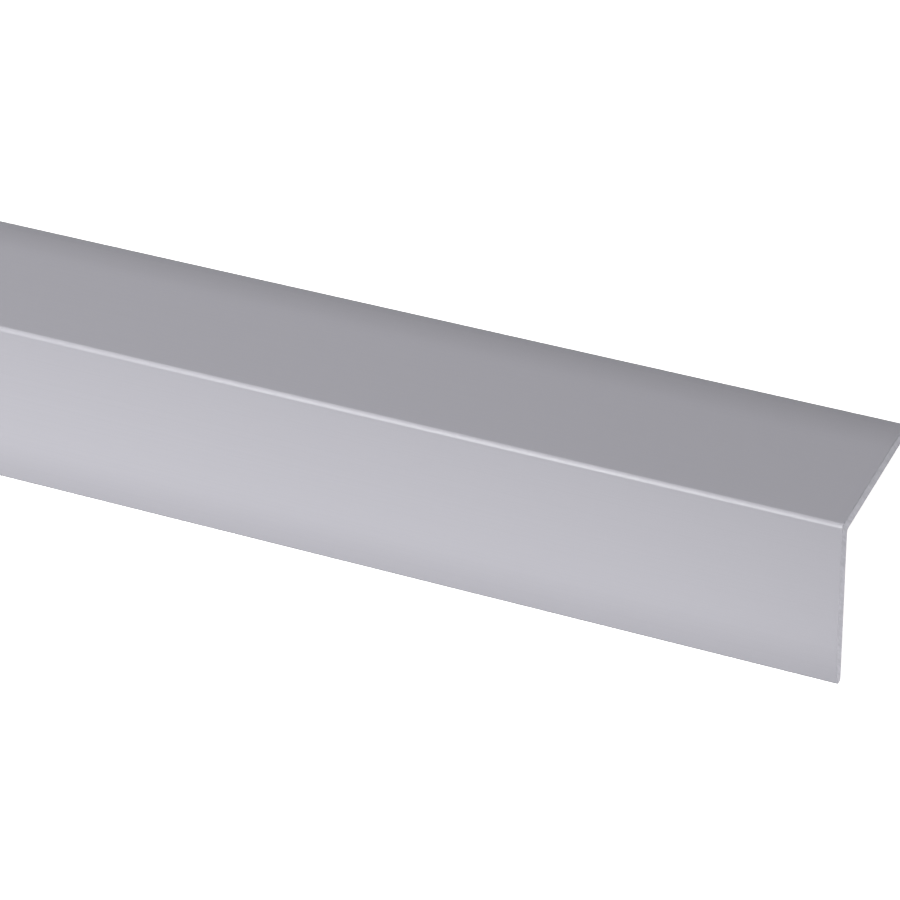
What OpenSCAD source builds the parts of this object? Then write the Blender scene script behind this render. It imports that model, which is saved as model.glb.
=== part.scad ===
// Self-adhesive plastic corner profile: an equal angle extruded in silver-grey PVC.
// Each flange thins to a rounded free edge on its outer side, and carries a strip of
// double-sided tape under a paper release liner on its inner side.
// The piece lies along X with its corner up, resting on both free edges at Z = 0.

/* [Profile] */
// Length that the stock is cut to
length = 1000; // [200:50:3000]
// Width of each flange, from the outer corner to the free edge
flange_w = 20; // [14:0.5:50]
// Wall of the flanges
wall = 1.5; // [1.2:0.1:3]
// Radius of the outer corner
corner_r = 0.5; // [0.3:0.1:1.5]
// Fillet in the inner corner
fillet_r = 0.4; // [0.2:0.1:1]

/* [Free edges] */
// Width of the band over which each flange thins towards its free edge
feather_w = 6; // [2:0.5:8]
// Thickness of the rounded free edge
edge_t = 1; // [0.4:0.1:1.1]

/* [Adhesive tape] */
// Bare margin between each tape and the free edge of its flange
edge_margin = 1.5; // [0.8:0.1:4]
// Bare margin between each tape and the inner face of the other flange
corner_margin = 2; // [1.2:0.1:4]
// Bare margin between each tape and the cut ends of the profile
end_margin = 0.5; // [0:0.1:5]
// Thickness of the double-sided tape
tape_t = 0.2; // [0.1:0.05:0.5]
// Thickness of the paper release liner
liner_t = 0.1; // [0.06:0.01:0.2]

/* [Hidden] */
$fn = 180;

plastic_grey = [0.62, 0.61, 0.65];
tape_white = [0.86, 0.87, 0.86];
liner_ivory = [0.93, 0.90, 0.82];

// The section is drawn with its sharp outer corner at the origin, one flange along +X
// and the other along -Y. The rounded edge is tangent to the flange's inner face, and
// the outer arc is tangent to the flat outer face and to the rounded edge.
edge_r = edge_t / 2;
edge_centre = [flange_w - edge_r, edge_r - wall];
flat_w = flange_w - feather_w;
feather_run = feather_w - edge_r;
feather_rise = wall - edge_r;
feather_r = (pow(feather_run, 2) + pow(feather_rise, 2) - pow(edge_r, 2)) / (2 * (wall - edge_t));
feather_centre = [flat_w, -feather_r];

// The tape and its liner fill each inner face inside the margins.
tape_start = wall + corner_margin;
tape_w = flange_w - edge_margin - tape_start;
tape_length = length - 2 * end_margin;

// Height of the sharp corner above the floor when both rounded edges rest on it
corner_h = (edge_centre[0] - edge_centre[1]) / sqrt(2) + edge_r;

// A flange's flat, its thinning band under the outer arc, and its rounded edge
module flange_section() {
    translate([0, -wall]) square([flat_w, wall]);
    intersection() {
        translate(feather_centre) circle(r = feather_r);
        polygon([
            [flat_w, -wall],
            [edge_centre[0], -wall],
            edge_centre,
            feather_centre + 2 * (edge_centre - feather_centre),
            [flat_w, feather_r]
        ]);
    }
    translate(edge_centre) circle(r = edge_r);
}

// What a radius takes off the square outer corner
module corner_relief() {
    difference() {
        translate([0, -corner_r]) square(corner_r);
        translate([corner_r, -corner_r]) circle(r = corner_r);
    }
}

// What a fillet adds to the square inner corner
module corner_fillet() {
    translate([wall, -wall]) difference() {
        translate([0, -fillet_r]) square(fillet_r);
        translate([fillet_r, -fillet_r]) circle(r = fillet_r);
    }
}

module angle_section() {
    difference() {
        union() {
            flange_section();
            mirror([1, 1]) flange_section();
            corner_fillet();
        }
        corner_relief();
    }
}

// A strip along a flange's inner face, starting at a depth below that face
module strip_section(depth, thickness) {
    translate([tape_start, -wall - depth - thickness]) square([tape_w, thickness]);
}

// Stands a section corner up and extrudes it along X, centred on the origin
module along_x(run) {
    rotate([90, 0, 90]) linear_extrude(height = run, center = true)
        translate([0, corner_h]) rotate(-45) children();
}

// Puts a piece of the rear flange, at +Y, on the front flange, at -Y
module on_front() {
    mirror([0, 1, 0]) children();
}

module corner_profile() {
    color(plastic_grey) along_x(length) angle_section();
}

module rear_tape() {
    color(tape_white) along_x(tape_length) strip_section(0, tape_t);
}

module rear_liner() {
    color(liner_ivory) along_x(tape_length) strip_section(tape_t, liner_t);
}

module front_tape() {
    on_front() rear_tape();
}

module front_liner() {
    on_front() rear_liner();
}

corner_profile();
front_tape();
rear_tape();
front_liner();
rear_liner();
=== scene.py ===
"""Looks of a self-adhesive plastic corner profile, in metres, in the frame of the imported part.

The profile lies along X with its corner up, on both free edges. Its near cut end is at +X.
"""

from math import atan2, cos, pi, radians, sin, sqrt

import bpy
from mathutils import Matrix, Vector


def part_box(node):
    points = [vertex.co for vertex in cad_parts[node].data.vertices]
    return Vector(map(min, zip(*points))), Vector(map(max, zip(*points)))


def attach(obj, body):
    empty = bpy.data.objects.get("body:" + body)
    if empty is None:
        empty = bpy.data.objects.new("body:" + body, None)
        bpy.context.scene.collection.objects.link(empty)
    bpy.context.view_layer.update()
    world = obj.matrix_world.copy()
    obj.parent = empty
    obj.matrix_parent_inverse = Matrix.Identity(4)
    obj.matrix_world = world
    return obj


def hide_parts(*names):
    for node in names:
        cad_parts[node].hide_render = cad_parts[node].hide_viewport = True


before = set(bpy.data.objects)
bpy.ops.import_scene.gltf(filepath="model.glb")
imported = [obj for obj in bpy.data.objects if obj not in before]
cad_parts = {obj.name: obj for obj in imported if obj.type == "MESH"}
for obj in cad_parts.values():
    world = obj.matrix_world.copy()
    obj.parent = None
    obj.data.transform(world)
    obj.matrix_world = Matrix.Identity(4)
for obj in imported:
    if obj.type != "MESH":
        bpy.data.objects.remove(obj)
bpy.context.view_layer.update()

MM = 0.001

# Section of the profile
FLANGE_W = 20 * MM
WALL = 1.5 * MM
CORNER_R = 0.5 * MM
FILLET_R = 0.4 * MM
FEATHER_W = 6 * MM
EDGE_R = 0.5 * MM

# Cut ends: the small chamfer that deburring leaves, and the pitch of the rings along the length
END_BREAK = 0.06 * MM
RING_PITCH = 10 * MM

# Steps round each arc of the section
CORNER_STEPS = 16
FEATHER_STEPS = 20
EDGE_STEPS = 24
FILLET_STEPS = 8

# Colours and refractive indices
PVC_GREY = (0.428, 0.423, 0.464)
PVC_IOR = 1.53
TAPE_MILKY = (0.80, 0.81, 0.79)
TAPE_IOR = 1.47
PAPER_IVORY = (0.84, 0.79, 0.68)
PAPER_IOR = 1.45
WHITE = (1, 1, 1)
PAINT_IOR = 1.3

# The two values between which a noise mostly lies
NOISE_LOW = 0.3
NOISE_HIGH = 0.7

# Stage: half the floor's width and the backdrop's radius, the backdrop's height and panels, and
# how strongly both glow
STAGE_R = 12
STAGE_H = 8
STAGE_PANELS = 64
STAGE_GLOW = 0.9

# Lights: where each stands, what it faces, its size, and its power in watts
# The front, top and end ones have twins at minus X, for the other half of the profile
PAIR_AIM = Vector((0.45, 0, 0.015))
PAIR_SIZE = (0.15, 0.08)
FRONT_AT = Vector((0.28, -0.34, 0.55))
FRONT_POWER = 2.12
TOP_AT = Vector((0.28, 0.02, 0.60))
TOP_POWER = 1.44
END_AT = Vector((0.55, -0.01, 0.003))
END_AIM = Vector((0.5, -0.01, 0.0025))
END_SIZE = (0.004, 0.006)
END_POWER = 0.0222
REAR_AT = Vector((0, 0.40, 0.45))
REAR_AIM = Vector((0, 0, 0.01))
REAR_SIZE = (1.0, 0.06)
REAR_POWER = 2.07
LOW_AT = Vector((0, -0.03, 0.012))
LOW_AIM = Vector((0, 0, 0.01))
LOW_SIZE = (1.02, 0.02)
LOW_POWER = 0.0507
AIR_LEVEL = 0.141

# Camera: where it stands, what it looks at, its roll about that line, and the nearest that it sees
CAMERA_AT = Vector((0.59946, -0.05411, 0.39601))
CAMERA_AIM = Vector((0.45879, -0.00161, 0.01500))
CAMERA_ROLL = radians(-54.8372)
CAMERA_LENS = 163.114
CAMERA_NEAR = 0.01
SENSOR_W = 36


# Section

def arc(centre, radius, start, end, steps, hollow=False):
    """Points along an arc with normals out of the plastic, as (along, depth) on a flange.

    Angle 0 faces straight out of the flange, and a quarter turn faces away from the corner.
    """
    points = []
    for i in range(steps + 1):
        angle = start + (end - start) * i / steps
        way = Vector((sin(angle), -cos(angle)))
        points.append((centre + radius * way, -way if hollow else way))
    return points


def flange_outline():
    """One flange: the middle of the outer corner, its free edge, and the middle of the fillet."""
    flat_w = FLANGE_W - FEATHER_W
    run = FEATHER_W - EDGE_R
    rise = WALL - EDGE_R
    feather_r = (run ** 2 + rise ** 2 - EDGE_R ** 2) / (2 * (WALL - 2 * EDGE_R))
    feather_end = atan2(run, feather_r - rise)
    corner = Vector((CORNER_R, CORNER_R))
    feather = Vector((flat_w, feather_r))
    edge = Vector((FLANGE_W - EDGE_R, WALL - EDGE_R))
    fillet = Vector((WALL + FILLET_R, WALL + FILLET_R))
    return (
        arc(corner, CORNER_R, -pi / 4, 0, CORNER_STEPS)
        + arc(feather, feather_r, 0, feather_end, FEATHER_STEPS)
        + arc(edge, EDGE_R, feather_end, pi, EDGE_STEPS)[1:]
        + arc(fillet, FILLET_R, 0, -pi / 4, FILLET_STEPS, hollow=True)
    )


def stand_up(along, depth):
    """Turns a direction on the rear flange into (y, z), corner up."""
    return Vector((along - depth, -along - depth)) / sqrt(2)


def section():
    """The closed outline as (y, z) points with outward normals, anticlockwise seen from +X."""
    corner_h = (FLANGE_W + WALL - 2 * EDGE_R) / sqrt(2) + EDGE_R
    lift = Vector((0, corner_h))
    rear = [(stand_up(*p) + lift, stand_up(*n)) for p, n in flange_outline()]
    mirrored = [(Vector((-p.x, p.y)), Vector((-n.x, n.y))) for p, n in rear[1:-1]]
    return mirrored + rear[::-1]


# Meshes

def add_object(name, data):
    """Puts a mesh, light or camera into the scene."""
    thing = bpy.data.objects.new(name, data)
    bpy.context.scene.collection.objects.link(thing)
    return thing


def extruded_angle(name, low_x, high_x):
    """The extrusion as one closed mesh with the section's own normals, broken at both cut ends.

    Its last two faces are the cut ends.
    """
    outline = section()
    count = len(outline)
    span = high_x - low_x - 2 * END_BREAK
    steps = round(span / RING_PITCH)
    rings = [(low_x, END_BREAK)]
    rings += [(low_x + END_BREAK + span * i / steps, 0) for i in range(steps + 1)]
    rings += [(high_x, END_BREAK)]
    last_band = len(rings) - 2

    points = []
    for x, inset in rings:
        points += [(x, *(p - inset * n)) for p, n in outline]
    faces = []
    normals = []
    for band in range(last_band + 1):
        lean = (band == last_band) - (band == 0)
        here = band * count
        there = here + count
        for i in range(count):
            j = (i + 1) % count
            faces.append((here + i, here + j, there + j, there + i))
            normals += [Vector((lean, *outline[k][1])).normalized() for k in (i, j, j, i)]
    faces.append(tuple(reversed(range(count))))
    normals += [Vector((-1, 0, 0))] * count
    faces.append(tuple(range(len(points) - count, len(points))))
    normals += [Vector((1, 0, 0))] * count

    mesh = bpy.data.meshes.new(name)
    mesh.from_pydata(points, [], faces)
    mesh.validate()
    mesh.shade_smooth()
    mesh.normals_split_custom_set(normals)
    return add_object(name, mesh)


# Materials

def shade(colour, factor):
    return tuple(factor * c for c in colour)


class Shader:
    """A material with a Principled shader, and short ways to add nodes to it."""

    def __init__(self, name, colour, roughness, ior):
        self.material = bpy.data.materials.new(name)
        self.material.use_nodes = True
        self.nodes = self.material.node_tree.nodes
        self.links = self.material.node_tree.links
        self.surface = self.nodes["Principled BSDF"]
        self.set("Base Color", (*colour, 1))
        self.set("Roughness", roughness)
        self.set("IOR", ior)

    def set(self, socket, value):
        self.surface.inputs[socket].default_value = value

    def feed(self, output, socket):
        self.links.new(output, self.surface.inputs[socket])

    def add(self, kind, inputs):
        """A node whose inputs are set to values or linked to other nodes' outputs."""
        node = self.nodes.new(kind)
        for socket, value in inputs.items():
            if isinstance(value, bpy.types.NodeSocket):
                self.links.new(value, node.inputs[socket])
            else:
                node.inputs[socket].default_value = value
        return node

    def noise(self, per_metre, detail=2.0, roughness=0.5):
        """Noise in the part's frame, with about this many grains to a metre along X, Y and Z."""
        where = self.nodes.new("ShaderNodeTexCoord").outputs["Object"]
        place = self.add("ShaderNodeMapping", {"Vector": where, "Scale": per_metre})
        texture = self.add("ShaderNodeTexNoise", {
            "Vector": place.outputs["Vector"],
            "Scale": 1.0,
            "Detail": detail,
            "Roughness": roughness,
        })
        return texture.outputs["Fac"]

    def spread(self, noise, low, high):
        """A noise spread over the values from low to high."""
        stretch = self.add("ShaderNodeMapRange", {
            "Value": noise,
            "From Min": NOISE_LOW,
            "From Max": NOISE_HIGH,
            "To Min": low,
            "To Max": high,
        })
        return stretch.outputs["Result"]

    def tones(self, noise, colour, low, high):
        """A noise spread over the tones from low to high times a colour."""
        ramp = self.add("ShaderNodeValToRGB", {"Fac": noise})
        dark, light = ramp.color_ramp.elements
        dark.position = NOISE_LOW
        dark.color = (*shade(colour, low), 1)
        light.position = NOISE_HIGH
        light.color = (*shade(colour, high), 1)
        return ramp.outputs["Color"]

    def bump(self, *layers):
        """Bump from (noise, depth in metres) layers, each on top of the one before it."""
        normal = None
        for noise, depth in layers:
            inputs = {"Height": noise, "Strength": 1.0, "Distance": depth}
            if normal is not None:
                inputs["Normal"] = normal
            normal = self.add("ShaderNodeBump", inputs).outputs["Normal"]
        self.feed(normal, "Normal")


def satin_pvc():
    """Extruded silver-grey PVC: fine die lines along the length and a faint satin grain."""
    pvc = Shader("satin_pvc", PVC_GREY, roughness=0.36, ior=PVC_IOR)
    die_lines = pvc.noise(per_metre=(2, 8000, 8000))
    clouds = pvc.noise(per_metre=(40, 120, 120))
    grain = pvc.noise(per_metre=(16000, 16000, 16000))
    pvc.feed(pvc.tones(die_lines, PVC_GREY, low=0.985, high=1.015), "Base Color")
    pvc.feed(pvc.spread(clouds, low=0.34, high=0.38), "Roughness")
    pvc.bump((die_lines, 0.006 * MM), (grain, 0.0015 * MM))
    return pvc.material


def sawn_pvc():
    """The cut ends: the same plastic, paler and duller, with the marks of the saw."""
    pvc = Shader("sawn_pvc", PVC_GREY, roughness=0.6, ior=PVC_IOR)
    saw_marks = pvc.noise(per_metre=(1, 5000, 700), detail=1)
    pvc.feed(pvc.tones(saw_marks, PVC_GREY, low=0.98, high=1.2), "Base Color")
    pvc.feed(pvc.spread(saw_marks, low=0.55, high=0.65), "Roughness")
    pvc.bump((saw_marks, 0.012 * MM))
    return pvc.material


def acrylic_tape():
    """Milky double-sided tape, which shows only along its edges and ends."""
    tape = Shader("acrylic_tape", TAPE_MILKY, roughness=0.4, ior=TAPE_IOR)
    strands = tape.noise(per_metre=(400, 6000, 6000))
    tape.feed(tape.tones(strands, TAPE_MILKY, low=0.94, high=1), "Base Color")
    tape.bump((strands, 0.004 * MM))
    return tape.material


def liner_paper():
    """Siliconised paper: ivory, smooth, with fibres that run mostly along the strip."""
    paper = Shader("liner_paper", PAPER_IVORY, roughness=0.42, ior=PAPER_IOR)
    fibres = paper.noise(per_metre=(900, 3500, 3500), detail=5, roughness=0.6)
    cockle = paper.noise(per_metre=(25, 90, 90))
    paper.feed(paper.tones(fibres, PAPER_IVORY, low=0.93, high=1), "Base Color")
    paper.feed(paper.spread(fibres, low=0.38, high=0.48), "Roughness")
    paper.bump((cockle, 0.06 * MM), (fibres, 0.003 * MM))
    return paper.material


def stage_white():
    """Nearly white paint that glows, so that hardly any shadow shows on it."""
    paint = Shader("stage_white", shade(WHITE, 0.9), roughness=0.9, ior=PAINT_IOR)
    dust = paint.noise(per_metre=(300, 300, 300))
    paint.feed(paint.tones(dust, WHITE, low=0.89, high=0.91), "Base Color")
    paint.set("Emission Color", (*WHITE, 1))
    paint.set("Emission Strength", STAGE_GLOW)
    return paint.material


def wear(piece, *materials):
    """Gives a piece its materials in slot order."""
    piece.data.materials.clear()
    for material in materials:
        piece.data.materials.append(material)


# The object

low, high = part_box("corner_profile")
profile = extruded_angle("angle_extrusion", low.x, high.x)
wear(profile, satin_pvc(), sawn_pvc())
for cut_end in profile.data.polygons[-2:]:
    cut_end.material_index = 1
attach(profile, "root")
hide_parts("corner_profile")

tape_material = acrylic_tape()
liner_material = liner_paper()
for side in ("front", "rear"):
    wear(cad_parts[side + "_tape"], tape_material)
    wear(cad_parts[side + "_liner"], liner_material)


# Studio

def stage_piece(name, points, faces, material):
    """A surface of the stage, which throws no light on the object."""
    mesh = bpy.data.meshes.new(name)
    mesh.from_pydata(points, [], faces)
    piece = add_object(name, mesh)
    wear(piece, material)
    piece.visible_diffuse = False
    piece.visible_glossy = False
    return piece


def pale_stage():
    """A wide floor, and far off a wall round it that closes the low views and shades nothing."""
    white = stage_white()
    corners = [(x * STAGE_R, y * STAGE_R, 0) for x, y in ((-1, -1), (1, -1), (1, 1), (-1, 1))]
    stage_piece("floor", corners, [(0, 1, 2, 3)], white)
    turns = [2 * pi * i / STAGE_PANELS for i in range(STAGE_PANELS)]
    rings = [(STAGE_R * cos(turn), STAGE_R * sin(turn), z) for z in (0, STAGE_H) for turn in turns]
    panels = []
    for i in range(STAGE_PANELS):
        j = (i + 1) % STAGE_PANELS
        panels.append((i, j, STAGE_PANELS + j, STAGE_PANELS + i))
    backdrop = stage_piece("backdrop", rings, panels, white)
    backdrop.visible_shadow = False


def softbox(name, centre, aim, size, power):
    """A rectangular soft light. Its first size runs along X, or upright if it faces along X."""
    light = bpy.data.lights.new(name, "AREA")
    light.shape = "RECTANGLE"
    light.size, light.size_y = size
    light.energy = power
    box = add_object(name, light)
    box.location = centre
    back = (centre - aim).normalized()
    across = Vector((1, 0, 0))
    across = (across - across.dot(back) * back).normalized()
    box.rotation_euler = Matrix((across, back.cross(across), back)).transposed().to_euler()
    box.visible_camera = False


def studio_air(level):
    """Even light from all round."""
    world = bpy.data.worlds.new("studio_air")
    world.use_nodes = True
    air = world.node_tree.nodes["Background"]
    air.inputs["Color"].default_value = (*WHITE, 1)
    air.inputs["Strength"].default_value = level
    bpy.context.scene.world = world


def photo_camera():
    """A camera at the photo's viewing angle."""
    camera = add_object("camera", bpy.data.cameras.new("camera"))
    camera.data.sensor_width = SENSOR_W
    camera.data.lens = CAMERA_LENS
    camera.data.clip_start = CAMERA_NEAR
    view = CAMERA_AIM - CAMERA_AT
    turn = view.to_track_quat("-Z", "Y").to_matrix() @ Matrix.Rotation(CAMERA_ROLL, 3, "Z")
    camera.matrix_world = Matrix.Translation(CAMERA_AT) @ turn.to_4x4()
    bpy.context.scene.camera = camera


pale_stage()
for half in (1, -1):
    twin = Vector((half, 1, 1))
    softbox("front_softbox", FRONT_AT * twin, PAIR_AIM * twin, PAIR_SIZE, FRONT_POWER)
    softbox("top_softbox", TOP_AT * twin, PAIR_AIM * twin, PAIR_SIZE, TOP_POWER)
    softbox("end_card", END_AT * twin, END_AIM * twin, END_SIZE, END_POWER)
softbox("rear_softbox", REAR_AT, REAR_AIM, REAR_SIZE, REAR_POWER)
softbox("low_card", LOW_AT, LOW_AIM, LOW_SIZE, LOW_POWER)
studio_air(AIR_LEVEL)
photo_camera()
bpy.context.scene.view_settings.view_transform = "Standard"
